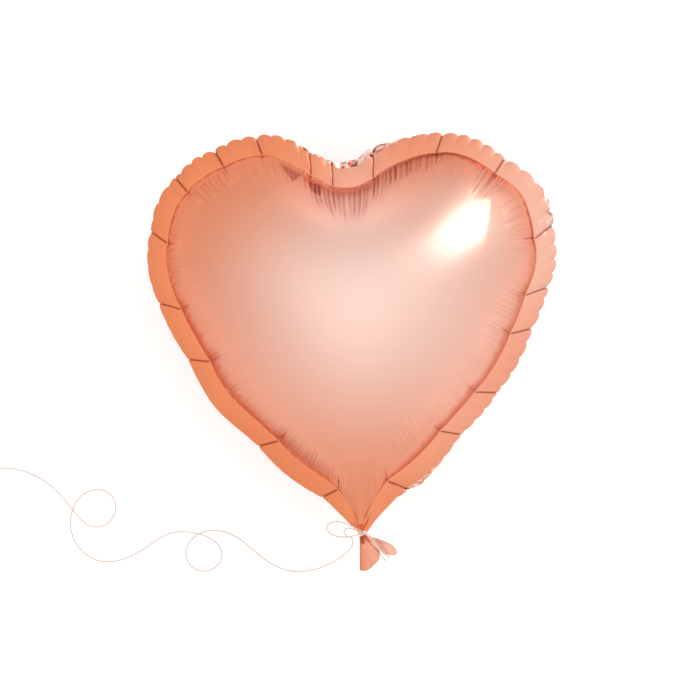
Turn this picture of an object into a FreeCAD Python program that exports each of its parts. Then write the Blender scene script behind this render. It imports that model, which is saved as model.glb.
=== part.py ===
"""Heart-shaped foil balloon with a tied neck, two tail flaps and a length of twine.

Frame: +Z up. The balloon lies on its back panel and the heart's lobes point to +Y.
The origin is the middle of the small flat patch that the back panel rests on.
"""
import FreeCAD, Part
import math
import os

import Sketcher
from FreeCAD import Placement, Rotation, Vector

doc = FreeCAD.newDocument("heart_foil_balloon")

# ---------------------------------------------------------------- driving sizes
sheet = doc.addObject("Spreadsheet::Sheet", "sizes")
SIZES = {
    "half_width": 183.0,        # middle to the outer edge of the seam flange
    "depth": 165.0,             # thickness of the inflated bag
    "foil_wall": 0.8,           # solid wall that stands in for the thin film
    "flange_width": 17.0,       # heat-sealed rim outside the air chamber
    "neck_radius": 2.8,         # gathered film inside the twine
    "neck_start": -199.0,       # Y where the gather begins
    "wrap_middle": -210.5,      # Y of the twine round the neck
    "tail_root": -213.6,        # Y of the line that both tail flaps bend on
    "film_wall": 0.3,           # valve film
    "film_width": 22.0,
    "film_length": 104.0,
    "flap_wall": 0.8,
    "flap_length": 31.0,
    "leaf_length": 36.0,
    "leaf_half": 9.0,
    "leaf_turn": 59.0,          # back flap's direction, from -Y towards +X
    "leaf_roll": 50.0,          # back flap's roll about its own length
    "twine": 1.2,               # diameter of the twine
    "twine_gap": 0.05,          # clearance between a turn of twine and what it holds
    "film_gap": 0.03,           # half the clearance between the two valve films
    "film_start": 0.4,          # the valve films start this far inside the bend line
    "flap_above": 1.0,          # front flap's middle above the seam plane
    "flap_below": 2.6,          # back flap's root below the seam plane
    "wrap_pitch": 1.25,
    "coil_radius": 6.8,         # middle of the turns of the put-away coil
    "bundle_radius": 2.9,       # half the thickness of the coil's bundle
    "coil_x": -357.5,
    "coil_y": -153.2,
    "tie_angle": 215.0,         # where the tie is on the coil, from +X
}
for row, (alias, value) in enumerate(SIZES.items(), start=1):
    sheet.set(f"A{row}", alias)
    sheet.set(f"B{row}", str(value))
    sheet.setAlias(f"B{row}", alias)
doc.recompute()


def size(alias):
    return float(sheet.get(alias))


SEAM_Z = size("depth") / 2.0


def bind(obj, **formulas):
    """Bind an object's properties to cells of the size sheet."""
    for prop, formula in formulas.items():
        obj.setExpression(prop.replace("__", "."), formula)


# ---------------------------------------------------------------- foil panels
# Right half of the flange's outer edge at the nominal half width of 183 mm,
# from the middle of the cleft, over the lobe and down to the neck.
FLANGE_EDGE = [
    (0.0, 120.5), (38.0, 136.5), (80.0, 149.5), (126.0, 138.5), (166.0, 107.0),
    (183.0, 55.0), (177.0, 3.0), (149.0, -58.0), (98.0, -122.0), (43.0, -172.5),
    (9.5, -205.0),
]
NOMINAL_HALF_WIDTH = 183.0
HEART_MIDDLE = (0.0, 8.0)
# Inflated section: share of the seam outline and share of half the depth.
# The outline's last points at the neck are drawn in sooner than the rest, by these
# powers of the share, so that the crown ends round there.
NECK_POWERS = [1.5, 1.15]
CROWN = [(1.0, 0.0), (0.945, 0.25), (0.85, 0.50), (0.70, 0.74), (0.48, 0.91), (0.18, 1.0)]


def heart_points(inset):
    """Whole outline, from the neck's right side over both lobes to its left side."""
    scale = size("half_width") / NOMINAL_HALF_WIDTH
    right = [Vector(x * scale, y * scale, 0) for x, y in reversed(FLANGE_EDGE)]
    whole = right + [Vector(-p.x, p.y, 0) for p in reversed(right[:-1])]
    moved = []
    for i, point in enumerate(whole):
        before = whole[max(i - 1, 0)]
        after = whole[min(i + 1, len(whole) - 1)]
        along = (after - before).normalize()
        inward = Vector(-along.y, along.x, 0)
        at_neck = i in (0, len(whole) - 1)
        moved.append(point + inward * (inset * (0.25 if at_neck else 1.0)))
    return moved


def heart_wire(inset, share=1.0, height=0.0):
    """Closed outline, drawn in towards the heart's middle by a share, at a height."""
    middle = Vector(HEART_MIDDLE[0], HEART_MIDDLE[1], 0)
    outline = heart_points(inset)
    shares = [share] * len(outline)
    for i, power in enumerate(NECK_POWERS):
        shares[i] = shares[-1 - i] = share ** power
    points = [middle + (p - middle) * s + Vector(0, 0, height) for p, s in zip(outline, shares)]
    curve = Part.BSplineCurve()
    curve.interpolate(points)
    return Part.Wire([curve.toShape(), Part.makeLine(points[-1], points[0])])


def dome(inset, crown_height):
    """Solid half of the inflated bag, standing on the seam plane."""
    wires = [heart_wire(inset, share, rise * crown_height) for share, rise in CROWN]
    return Part.makeLoft(wires, True, False)


def prism(inset, height):
    return Part.Face(heart_wire(inset)).extrude(Vector(0, 0, height))


VALVE_NECK_HALF = 2.2           # half the width of the valve films inside the neck
GATHER_SPREAD = 2.6             # radius where the gather begins, in neck radii
WRAPPED_HALF = 2.5              # straight neck above the middle of the twine
NECK_STOP = 0.6                 # the neck stops this far short of the bend line
FILM_ROOM = 0.1                 # clearance above the valve films inside the neck
FILM_SIDE_ROOM = 0.3            # and beside them
TOOL = 40.0                     # side of the cutting boxes, which reach past the neck


def half_neck():
    """Upper half of the gathered neck, open underneath for the valve films."""
    radius, start = size("neck_radius"), size("neck_start")
    gather_end = size("wrap_middle") + WRAPPED_HALF
    towards_tail = Vector(0, -1, 0)
    gather = Part.makeCone(
        GATHER_SPREAD * radius, radius, start - gather_end, Vector(0, start, 0), towards_tail)
    straight = Part.makeCylinder(
        radius, gather_end - size("tail_root") - NECK_STOP, Vector(0, gather_end, 0), towards_tail)
    slot = size("film_wall") + FILM_ROOM
    keep = Part.makeBox(TOOL, TOOL, TOOL, Vector(-TOOL / 2, size("tail_root"), slot))
    return gather.fuse(straight).common(keep)


def foil_panel():
    """One panel: crowned shell, its half of the sealed flange and half of the neck."""
    wall, flange = size("foil_wall"), size("flange_width")
    shell = dome(flange, SEAM_Z).cut(dome(flange + wall, SEAM_Z - wall))
    rim = prism(0.0, wall).cut(prism(flange + wall, wall))
    way_half = VALVE_NECK_HALF + FILM_SIDE_ROOM
    film_way = Part.makeBox(
        2 * way_half, TOOL, size("film_wall") + FILM_ROOM, Vector(-way_half, size("tail_root"), 0))
    return shell.fuse([rim, half_neck()]).cut(film_way).removeSplitter()


panel_shape = foil_panel()
for name, tilt in (("front_foil_panel", 0), ("back_foil_panel", 180)):
    panel = doc.addObject("Part::Feature", name)
    panel.Shape = panel_shape
    panel.Placement = Placement(Vector(0, 0, SEAM_Z), Rotation(Vector(0, 1, 0), tilt))


# ---------------------------------------------------------------- sketched bodies
def body_sketch(name):
    """Body with an empty sketch on its XY plane."""
    body = doc.addObject("PartDesign::Body", name)
    sketch = body.newObject("Sketcher::SketchObject", name + "_outline")
    plane = [f for f in body.Origin.OriginFeatures if f.Role == "XY_Plane"][0]
    sketch.AttachmentSupport = [(plane, "")]
    sketch.MapMode = "FlatFace"
    return body, sketch


def close_outline(sketch, edges):
    """Draw lines and three-point arcs end to end and join their ends."""
    for edge in edges:
        ends = [Vector(x, y, 0) for x, y in edge]
        if len(ends) == 2:
            sketch.addGeometry(Part.LineSegment(*ends))
        else:
            sketch.addGeometry(Part.Arc(*ends))


def pad(body, sketch, wall_alias):
    feature = body.newObject("PartDesign::Pad", body.Name + "_pad")
    feature.Profile = sketch
    feature.Midplane = True
    bind(feature, Length="sizes." + wall_alias)
    return feature


VALVE_SHOULDER = (19.0, 34.0)   # the film widens between these distances from its lower end


def valve_film(name, side):
    """Flat self-sealing valve film, from the neck up into the air chamber."""
    body, sketch = body_sketch(name)
    half, neck_half, top = size("film_width") / 2, VALVE_NECK_HALF, size("film_length")
    neck_top, shoulder = VALVE_SHOULDER
    close_outline(sketch, [
        ((neck_half, 0), (neck_half, neck_top)),
        ((neck_half, neck_top), (half, shoulder)),
        ((half, shoulder), (half, top - half)),
        ((half, top - half), (0, top), (-half, top - half)),
        ((-half, top - half), (-half, shoulder)),
        ((-half, shoulder), (-neck_half, neck_top)),
        ((-neck_half, neck_top), (-neck_half, 0)),
        ((-neck_half, 0), (neck_half, 0)),
    ])
    pad(body, sketch, "film_wall")
    bind(body,
         Placement__Base__y="sizes.tail_root + sizes.film_start",
         Placement__Base__z=f"sizes.depth / 2 + ({side}) * (sizes.film_wall / 2 + sizes.film_gap)")


valve_film("valve_front_film", 1)
valve_film("valve_back_film", -1)


# Corners of the front flap from the bend line: X, and Y either from the line or, for the
# ones marked as open edge, above the flap's far end.
FLAP_ROOT = [(-2.8, -0.4), (2.8, -0.4), (2.8, -3.0)]
FLAP_OPEN_EDGE = [(-3.8, 0.0), (6.5, 1.8), (13.6, 11.5), (12.0, 16.5)]


def front_tail_flap():
    """Fan-shaped end of the front panel below the tie, with one straight side."""
    body, sketch = body_sketch("front_tail_flap")
    root_left, root_right, root_low = FLAP_ROOT
    left, bottom, right, right_top = [(x, y - size("flap_length")) for x, y in FLAP_OPEN_EDGE]
    close_outline(sketch, [
        (root_left, left),
        (left, bottom, right),
        (right, right_top),
        (right_top, root_low),
        (root_low, root_right),
        (root_right, root_left),
    ])
    pad(body, sketch, "flap_wall")
    bind(body, Placement__Base__y="sizes.tail_root",
         Placement__Base__z="sizes.depth / 2 + sizes.flap_above")


LEAF_ROOT = (1.3, -1.2)         # half width at the root, and where the root starts
LEAF_BELLY = (0.62, 0.30)       # shares of the half width and of the length
LEAF_WIDEST = 0.68              # share of the length at which the leaf is widest


def back_tail_flap():
    """Leaf-shaped end of the back panel, swung to one side and rolled."""
    body, sketch = body_sketch("back_tail_flap")
    reach, half = -size("leaf_length"), size("leaf_half")
    root_half, root_y = LEAF_ROOT
    belly, belly_y, widest_y = LEAF_BELLY[0] * half, LEAF_BELLY[1] * reach, LEAF_WIDEST * reach
    close_outline(sketch, [
        ((-root_half, root_y), (-belly, belly_y), (-half, widest_y)),
        ((-half, widest_y), (0, reach), (half, widest_y)),
        ((half, widest_y), (belly, belly_y), (root_half, root_y)),
        ((root_half, root_y), (-root_half, root_y)),
    ])
    pad(body, sketch, "flap_wall")
    turn = Rotation(Vector(0, 0, 1), size("leaf_turn"))
    roll = Rotation(Vector(0, 1, 0), -size("leaf_roll"))
    body.Placement = Placement(Vector(0, 0, 0), turn.multiply(roll))
    bind(body, Placement__Base__y="sizes.tail_root",
         Placement__Base__z="sizes.depth / 2 - sizes.flap_below")


front_tail_flap()
back_tail_flap()

# ---------------------------------------------------------------- twine at the neck
WRAP_TURNS = 3
turns = []
for turn in range(WRAP_TURNS):
    ring = doc.addObject("Part::Torus", f"wrap_turn_{turn + 1}")
    bind(ring, Radius1="sizes.neck_radius + sizes.twine / 2 + sizes.twine_gap",
         Radius2="sizes.twine / 2",
         Placement__Base__y=f"sizes.wrap_middle + ({turn - 1}) * sizes.wrap_pitch",
         Placement__Base__z="sizes.depth / 2")
    ring.Placement.Rotation = Rotation(Vector(1, 0, 0), 90)
    turns.append(ring)
wraps = doc.addObject("Part::Compound", "neck_wraps")
wraps.Links = turns

knot = doc.addObject("Part::Ellipsoid", "knot")
knot.Angle1, knot.Angle2, knot.Angle3 = -90, 90, 360
bind(knot, Radius1="1.5 * sizes.twine", Radius2="2 * sizes.twine", Radius3="1.7 * sizes.twine",
     Placement__Base__y="sizes.wrap_middle",
     Placement__Base__z="sizes.depth / 2 + sizes.neck_radius + 2.35 * sizes.twine")

# ---------------------------------------------------------------- free twine
# Points of each route in mm. The first point is where the twine leaves the knot, and a
# height of 0.65 is twine lying on the floor.
STRING_ROUTE = [
    (-1.5, -210.0, 88.2), (-6.0, -208.0, 88.2), (-11.0, -205.8, 87.0), (-15.5, -206.3, 85.2),
    (-17.2, -210.0, 83.6), (-14.5, -213.6, 82.0), (-10.0, -215.6, 78.4), (-8.6, -220.0, 72.0),
    (-11.0, -227.0, 60.8), (-18.0, -235.0, 46.0), (-29.0, -243.5, 28.0), (-42.0, -250.5, 12.0),
    (-56.0, -254.0, 3.2), (-69.0, -253.6, 0.65), (-82.0, -249.3, 0.65), (-94.0, -241.6, 0.65),
    (-104.6, -231.8, 0.65), (-115.2, -221.6, 0.65), (-128.0, -214.0, 0.65),
    (-142.0, -211.0, 0.65), (-155.0, -213.2, 0.65), (-165.2, -221.0, 0.65),
    (-169.8, -231.2, 0.65), (-167.0, -242.2, 0.65), (-158.2, -249.8, 0.65),
    (-147.0, -250.3, 0.65), (-137.2, -244.2, 0.65), (-133.6, -234.0, 0.65),
    (-138.0, -223.6, 1.8), (-148.6, -215.8, 5.2), (-164.0, -211.2, 5.2),
    (-181.0, -211.2, 0.65), (-195.6, -218.0, 0.65), (-210.0, -227.4, 0.65),
    (-224.4, -234.4, 0.65), (-239.0, -238.0, 0.65), (-253.2, -236.2, 0.65),
    (-265.4, -229.2, 0.65), (-274.2, -217.8, 0.65), (-278.0, -204.4, 0.65),
    (-276.8, -190.6, 0.65), (-271.6, -178.6, 0.65), (-262.6, -170.2, 0.65),
    (-250.6, -167.4, 0.65), (-239.4, -171.2, 0.65), (-233.4, -181.0, 0.65),
    (-234.4, -193.0, 0.65), (-243.4, -202.4, 0.65), (-255.6, -204.4, 1.8),
    (-266.8, -196.6, 5.2), (-279.4, -178.6, 5.2), (-293.0, -163.6, 0.65),
    (-309.0, -152.2, 0.65), (-325.4, -145.4, 0.65), (-341.0, -143.6, 0.65),
    (-354.0, -145.6, 1.2),
]
BOW_LOOP_ROUTE = [
    (-1.4, -211.4, 88.2), (-7.5, -213.4, 86.2), (-16.0, -214.6, 82.0), (-24.0, -214.0, 78.0),
    (-30.2, -211.2, 75.2), (-33.0, -206.8, 74.2), (-30.8, -202.2, 75.6), (-24.6, -199.8, 79.2),
    (-15.6, -201.2, 85.0), (-7.0, -205.4, 89.8), (-1.0, -209.0, 89.8),
]
SHORT_END_ROUTES = {
    "short_end_left": [
        (1.0, -210.8, 88.0), (4.6, -213.4, 87.4), (7.8, -217.6, 85.0), (10.6, -222.6, 81.8),
        (13.8, -228.4, 78.2), (17.2, -234.0, 74.0), (19.4, -238.6, 69.4),
    ],
    "short_end_right": [
        (1.0, -209.6, 88.8), (5.6, -212.2, 88.8), (9.4, -216.6, 88.0), (12.4, -221.8, 84.6),
        (15.8, -227.4, 81.0), (19.8, -232.4, 77.2), (23.4, -236.0, 72.6),
    ],
}
RUN_SHARE = 0.45                # share of the shorter run that an arc may take


def twine_tube(name, route):
    """Round tube along straight runs joined by tangent arcs; prints its radii."""
    points = [Vector(*p) for p in route]
    edges, radii, start = [], [], points[0]
    for before, corner, after in zip(points, points[1:], points[2:]):
        back, ahead = (before - corner), (after - corner)
        reach = RUN_SHARE * min(back.Length, ahead.Length)
        half_turn = (math.pi - back.getAngle(ahead)) / 2
        radius = reach / math.tan(half_turn)
        back, ahead = back.normalize(), ahead.normalize()
        first, last = corner + back * reach, corner + ahead * reach
        inward = (back + ahead).normalize()
        middle = corner + inward * (radius / math.cos(half_turn) - radius)
        edges += [Part.LineSegment(start, first).toShape(), Part.Arc(first, middle, last).toShape()]
        radii.append(radius)
        start = last
    edges.append(Part.LineSegment(start, points[-1]).toShape())
    wire = Part.Wire(edges)
    direction = points[1] - points[0]
    ring = Part.Wire(Part.makeCircle(size("twine") / 2, points[0], direction))
    tube = wire.makePipeShell([ring], True, False)
    expected = math.pi * size("twine") ** 2 / 4 * wire.Length
    print(f"{name}: length {wire.Length:.1f} mm, least radius {min(radii):.1f} mm, "
          f"volume ratio {tube.Volume / expected:.4f}")
    print("   radii", " ".join(f"{r:.1f}" for r in radii))
    piece = doc.addObject("Part::Feature", name)
    piece.Shape = tube


twine_tube("string", STRING_ROUTE)
twine_tube("bow_loop", BOW_LOOP_ROUTE)
for end_name, end_route in SHORT_END_ROUTES.items():
    twine_tube(end_name, end_route)

# ---------------------------------------------------------------- put-away coil
BUNDLE_HEIGHT = "sizes.bundle_radius + sizes.twine + sizes.twine_gap"
coil = doc.addObject("Part::Torus", "string_coil")
bind(coil, Radius1="sizes.coil_radius", Radius2="sizes.bundle_radius",
     Placement__Base__x="sizes.coil_x", Placement__Base__y="sizes.coil_y",
     Placement__Base__z=BUNDLE_HEIGHT)

tie = doc.addObject("Part::Torus", "coil_tie")
bind(tie, Radius1="sizes.bundle_radius + sizes.twine / 2 + sizes.twine_gap",
     Radius2="sizes.twine / 2",
     Placement__Base__x="sizes.coil_x + sizes.coil_radius * cos(sizes.tie_angle * 1deg)",
     Placement__Base__y="sizes.coil_y + sizes.coil_radius * sin(sizes.tie_angle * 1deg)",
     Placement__Base__z=BUNDLE_HEIGHT)
across_bundle = Rotation(Vector(0, 0, 1), size("tie_angle")).multiply(Rotation(Vector(1, 0, 0), 90))
tie.Placement.Rotation = across_bundle

# ---------------------------------------------------------------- check and write
NODES = [
    "front_foil_panel", "back_foil_panel", "valve_front_film", "valve_back_film",
    "front_tail_flap", "back_tail_flap", "neck_wraps", "knot", "bow_loop",
    "short_end_left", "short_end_right", "string", "string_coil", "coil_tie",
]
doc.recompute()
for obj in doc.Objects:
    if "Invalid" in obj.State or "Error" in obj.State:
        raise RuntimeError(f"{obj.Name} failed: {obj.State}")
os.makedirs("parts", exist_ok=True)
for node in NODES:
    sub_part = doc.getObject(node)
    sub_part.Label = node
    shape = sub_part.Shape
    if shape.isNull() or not shape.isValid():
        raise RuntimeError(f"{node} has no valid shape")
    shape.exportStep(f"parts/{node}.step")
    print(f"{node}: {len(shape.Solids)} solid(s), {shape.Volume:.1f} mm3")
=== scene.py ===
import math

import bpy
import numpy as np
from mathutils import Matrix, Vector
from mathutils.bvhtree import BVHTree
from mathutils.geometry import delaunay_2d_cdt


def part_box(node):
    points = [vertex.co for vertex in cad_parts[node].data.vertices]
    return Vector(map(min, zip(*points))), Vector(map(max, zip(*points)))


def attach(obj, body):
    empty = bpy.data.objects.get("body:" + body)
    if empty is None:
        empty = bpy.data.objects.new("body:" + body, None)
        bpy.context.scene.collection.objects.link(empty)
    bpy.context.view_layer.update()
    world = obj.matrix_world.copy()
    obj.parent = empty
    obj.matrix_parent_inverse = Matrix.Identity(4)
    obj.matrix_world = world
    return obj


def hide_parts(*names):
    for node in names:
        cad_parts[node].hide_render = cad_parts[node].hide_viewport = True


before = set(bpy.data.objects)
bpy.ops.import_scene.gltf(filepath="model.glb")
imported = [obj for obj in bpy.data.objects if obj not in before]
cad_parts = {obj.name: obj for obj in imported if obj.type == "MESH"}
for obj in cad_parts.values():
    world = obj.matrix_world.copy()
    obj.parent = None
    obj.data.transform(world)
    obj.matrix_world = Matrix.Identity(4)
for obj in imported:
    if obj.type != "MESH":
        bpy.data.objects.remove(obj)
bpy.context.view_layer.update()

# Heart-shaped foil balloon lying on its back panel. Metres, +Z up, lobes to +Y.
MM = 0.001
SEAM_Z = (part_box("front_foil_panel")[1][2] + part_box("back_foil_panel")[0][2]) / 2
HALF_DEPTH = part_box("front_foil_panel")[1][2] - SEAM_Z
MIDDLE = np.array([0.0, 8.0]) * MM  # middle of the heart, which the rays start from

# ---- camera
VIEW_WIDTH = 634.9 * MM  # width that the picture takes in at the seam
VIEW_MIDDLE = (-4.5 * MM, -45.0 * MM)
VIEW_TURN = math.radians(-2.35)
CAMERA_HEIGHT = 1.6  # above the seam
SENSOR = 36.0

def add_object(name, data):
    holder = bpy.data.objects.new(name, data)
    bpy.context.scene.collection.objects.link(holder)
    return holder

def add_camera():
    """Look straight down, with the heart turned a little as it lies in the picture."""
    camera = bpy.data.cameras.new("camera")
    camera.sensor_width = SENSOR
    camera.lens = SENSOR * CAMERA_HEIGHT / VIEW_WIDTH
    holder = add_object("camera", camera)
    holder.location = (*VIEW_MIDDLE, SEAM_Z + CAMERA_HEIGHT)
    holder.rotation_euler = (0, 0, VIEW_TURN)
    bpy.context.scene.camera = holder

# ---- general helpers
def smoothstep(low, high, value):
    share = np.clip((np.asarray(value, float) - low) / (high - low), 0, 1)
    return share * share * (3 - 2 * share)


def spline_at(knots, values, places):
    """Natural cubic spline through values, one row to a knot, read at the places."""
    knots, places = np.asarray(knots, float), np.asarray(places, float)
    values = np.asarray(values, float)
    count, gap = len(knots), np.diff(knots)
    slope = np.diff(values, axis=0) / gap[:, None]
    system, right = np.eye(count), np.zeros_like(values)
    for i in range(1, count - 1):
        system[i, i - 1:i + 2] = gap[i - 1], 2 * (gap[i - 1] + gap[i]), gap[i]
        right[i] = 6 * (slope[i] - slope[i - 1])
    bend = np.linalg.solve(system, right)
    span = np.clip(np.searchsorted(knots, places, side="right") - 1, 0, count - 2)
    after = ((places - knots[span]) / gap[span])[:, None]
    before = 1 - after
    curve = ((before ** 3 - before) * bend[span] + (after ** 3 - after) * bend[span + 1])
    return before * values[span] + after * values[span + 1] + curve * gap[span, None] ** 2 / 6


def loop_spline(values, places):
    """The same for a closed loop: evenly spaced rows, places from 0 to 1 round it."""
    count, spare = len(values), 8
    rows = np.arange(-spare, count + spare + 1)
    return spline_at(rows / count, values[rows % count], places)


def lengths_along(line):
    return np.r_[0, np.cumsum(np.linalg.norm(np.diff(line, axis=0), axis=1))]


def at_shares(line, shares):
    """Points of a polyline at shares of its length."""
    along = lengths_along(line)
    return np.stack([np.interp(np.asarray(shares) * along[-1], along, line[:, k])
                     for k in range(line.shape[1])], axis=1)


def curve_through(points, steps=24):
    """Dense smooth line through a few points, with knots at their chord lengths."""
    points = np.asarray(points, float)
    along = lengths_along(points)
    places = np.concatenate([np.linspace(a, b, steps, endpoint=False)
                             for a, b in zip(along, along[1:])] + [along[-1:]])
    return spline_at(along, points, places)


def loop_noise(count, reach, seed):
    """Smooth random values round a loop, about -1 to 1, with features reach columns wide."""
    values = np.random.default_rng(seed).normal(size=count)
    waves = np.fft.rfftfreq(count) * reach
    smooth = np.fft.irfft(np.fft.rfft(values) * np.exp(-(waves * 2.2) ** 2), count)
    return smooth / smooth.std() * 0.6


def add_mesh(name, points, faces, material, marks=None):
    mesh = bpy.data.meshes.new(name)
    mesh.from_pydata(np.asarray(points, float).tolist(), [], faces)
    mesh.validate()
    mesh.polygons.foreach_set("use_smooth", [True] * len(mesh.polygons))
    mesh.materials.append(material)
    for key, values in (marks or {}).items():
        layer = mesh.attributes.new(key, "FLOAT", "POINT")
        layer.data.foreach_set("value", np.asarray(values, np.float32))
    mesh.update()
    return add_object(name, mesh)


# ---- materials
class Shader:
    """A Principled material with short calls for its nodes."""

    def __init__(self, name):
        self.material = bpy.data.materials.new(name)
        self.material.use_nodes = True
        self.tree = self.material.node_tree
        self.principled = self.tree.nodes["Principled BSDF"]

    def set(self, **values):
        for key, value in values.items():
            self.principled.inputs[key.replace("_", " ")].default_value = value

    def node(self, kind, **values):
        made = self.tree.nodes.new(kind)
        for key, value in values.items():
            if key in made.inputs:
                made.inputs[key].default_value = value
            else:
                setattr(made, key, value)
        return made

    def link(self, source, target):
        self.tree.links.new(source, target)

    def noise(self, scale, detail=2.0):
        where = self.node("ShaderNodeTexCoord")
        made = self.node("ShaderNodeTexNoise", Scale=scale, Detail=detail)
        self.link(where.outputs["Object"], made.inputs["Vector"])
        return made.outputs["Fac"]

    def mix(self, share, first, second):
        made = self.node("ShaderNodeMix", data_type="RGBA")
        self.link(share, made.inputs["Factor"])
        for socket, value in ((made.inputs[6], first), (made.inputs[7], second)):
            if isinstance(value, tuple):
                socket.default_value = value
            else:
                self.link(value, socket)
        return made.outputs[2]

    def range(self, value, low, high):
        """Bring a value from 0 to 1 to another range."""
        made = self.node("ShaderNodeMapRange", **{"To Min": low, "To Max": high})
        self.link(value, made.inputs["Value"])
        return made.outputs["Result"]

    def bump(self, height, strength, distance, normal=None):
        made = self.node("ShaderNodeBump", Strength=strength, Distance=distance)
        self.link(height, made.inputs["Height"])
        if normal is not None:
            self.link(normal, made.inputs["Normal"])
        return made.outputs["Normal"]

    def attribute(self, name):
        return self.node("ShaderNodeAttribute", attribute_name=name).outputs["Fac"]

    def to(self, key, value):
        self.link(value, self.principled.inputs[key])


FOIL = (0.81, 0.262, 0.124, 1.0)
FOIL_WARM = (0.79, 0.238, 0.106, 1.0)
FOIL_PAINTED_SHEEN = (0.95, 0.72, 0.62, 1.0)  # painted pale sheen, standing in for the reflection of the bright overhead surroundings
# painted shade: dark red for creases, folds and stretches beside the seam
FOIL_PAINTED_SHADE = (0.30, 0.03, 0.015, 1.0)


def foil_material(name):
    """Rose-gold metallised film: soft mirror, a little uneven, with a painted pale sheen and painted shade
    in its creases.
    """
    shader = Shader(name)
    shader.set(Metallic=1.0, Coat_Roughness=0.35, Coat_IOR=4.0)
    # The sheen mark is painted light: it raises the coat and paints the colour pale where the film should
    # reflect bright surroundings.
    haze = shader.attribute("haze")
    shader.to("Coat Weight", haze)
    tone = shader.mix(shader.noise(9.0, 3.0), FOIL, FOIL_WARM)
    tone = shader.mix(shader.range(haze, 0.0, 0.4), tone, FOIL_PAINTED_SHEEN)
    # The shade mark paints the colour dark red where shade and dark reflections fall: painted shade.
    shader.to("Base Color", shader.mix(shader.attribute("crease"), tone, FOIL_PAINTED_SHADE))
    shader.to("Roughness", shader.range(shader.noise(60.0, 3.0), 0.285, 0.34))
    waves = shader.bump(shader.noise(45.0, 1.0), 0.25, 0.6 * MM)
    shader.to("Normal", shader.bump(shader.noise(900.0, 2.0), 0.06, 0.1 * MM, waves))
    return shader.material


CREAM = (0.94, 0.83, 0.75, 1.0)
PEACH = (0.78, 0.46, 0.35, 1.0)
FIBRE = (0.93, 0.82, 0.74, 1.0)

def twine_material(name):
    """Soft two-ply cotton: one cream ply and one peach ply with fine fibres."""
    shader = Shader(name)
    shader.set(Roughness=0.85, Sheen_Weight=0.35, Sheen_Roughness=0.5)
    plies = shader.mix(shader.attribute("ply"), CREAM, PEACH)
    tint = shader.mix(shader.noise(700.0, 3.0), plies, FIBRE)
    shader.to("Base Color", shader.mix(shader.range(shader.noise(300.0), 0.0, 0.5), plies, tint))
    shader.to("Normal", shader.bump(shader.noise(2600.0, 4.0), 0.5, 0.15 * MM))
    return shader.material


def film_material(name):
    """Milky translucent film of the valve."""
    shader = Shader(name)
    shader.set(Base_Color=(0.92, 0.93, 0.93, 1.0), Transmission_Weight=0.6, IOR=1.5)
    shader.to("Roughness", shader.range(shader.noise(200.0), 0.25, 0.45))
    shader.to("Normal", shader.bump(shader.noise(150.0, 3.0), 0.3, 0.2 * MM))
    return shader.material


def floor_material():
    """Plain pale floor that glows a little, so that it stays white in the picture."""
    shader = Shader("floor")
    shader.set(Roughness=0.9, Specular_IOR_Level=0.0, Emission_Color=(1.0, 1.0, 1.0, 1.0),
               Emission_Strength=0.45)
    shader.to("Base Color", shader.mix(shader.noise(3.0), (0.69, 0.69, 0.69, 1), (0.71, 0.71, 0.71, 1)))
    return shader.material


# ---- inflated form
MESH_STEP = 6.5 * MM  # triangle side of the mesh that is blown up
# Half of the flat panel inside the seam, in mm, from the cleft to the neck.
FLAT_HALF = [
    (0, 150), (45, 156), (85, 158), (125, 149), (160, 124), (184, 86), (194, 42), (190, -2),
    (172, -46), (140, -94), (104, -136), (66, -174), (30, -205), (6.5, -222),
]
PROFILE_POWER = {1: 0.87, -1: 0.78}  # below 1, the film rises more steeply at the seam
CLEFT_POWER = 0.20  # added under the cleft, where the film rises less
STEEP_SEAM = 1.4 * MM  # extra rise right beside the seam at the upper right
NECK_OPEN = 2.9 * MM  # half height of the neck's way in, round the valve
NECK_SPREAD = 7.5 * MM  # and how far it spreads to each side
PRESS = 0.8 * MM  # how softly the floor flattens the back

def flat_pattern():
    """Outline of the flat panel inside the seam, open at the neck."""
    half = curve_through(np.array(FLAT_HALF, float) * MM)
    return np.vstack([half[::-1], half[1:] * [-1, 1]])


def is_inside(points, loop):
    """Even-odd test of points against a closed loop."""
    found = np.zeros(len(points), bool)
    x, y = points[:, 0], points[:, 1]
    for (ax, ay), (bx, by) in zip(loop, np.roll(loop, 1, axis=0)):
        crossing = (ay > y) != (by > y)
        found ^= crossing & (x < (bx - ax) * (y - ay) / (by - ay + 1e-15) + ax)
    return found


def distance_to(points, loop):
    nearest = np.full(len(points), np.inf)
    for x, y in loop:
        nearest = np.minimum(nearest, np.hypot(points[:, 0] - x, points[:, 1] - y))
    return nearest


def flat_mesh(outline):
    """Triangles of one flat panel; the loop's points come first."""
    rng = np.random.default_rng(3)
    seam_count = round(lengths_along(outline)[-1] / MESH_STEP)
    seam = at_shares(outline, np.linspace(0, 1, seam_count + 1))
    loop = np.vstack([seam, (seam[0] + seam[-1])[None] / 2])
    low, high = loop.min(0), loop.max(0)
    rows = np.arange(low[1], high[1], MESH_STEP * math.sqrt(3) / 2)
    grid = np.vstack([
        np.stack([xs, np.full(len(xs), y)], axis=1)
        for xs, y in ((np.arange(low[0] + (j % 2) * MESH_STEP / 2, high[0], MESH_STEP), y)
                      for j, y in enumerate(rows))])
    grid = grid[is_inside(grid, loop)]
    grid = grid[distance_to(grid, loop) > 0.72 * MESH_STEP]
    grid = grid + rng.normal(0, 0.05 * MESH_STEP, grid.shape)
    count = len(loop)
    found = delaunay_2d_cdt([Vector(p) for p in np.vstack([loop, grid])],
                            [(i, (i + 1) % count) for i in range(count)], [], 2, 1e-7)
    flat = np.array([tuple(v) for v in found[0]])
    return flat, [tuple(f) for f in found[2]], count


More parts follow.
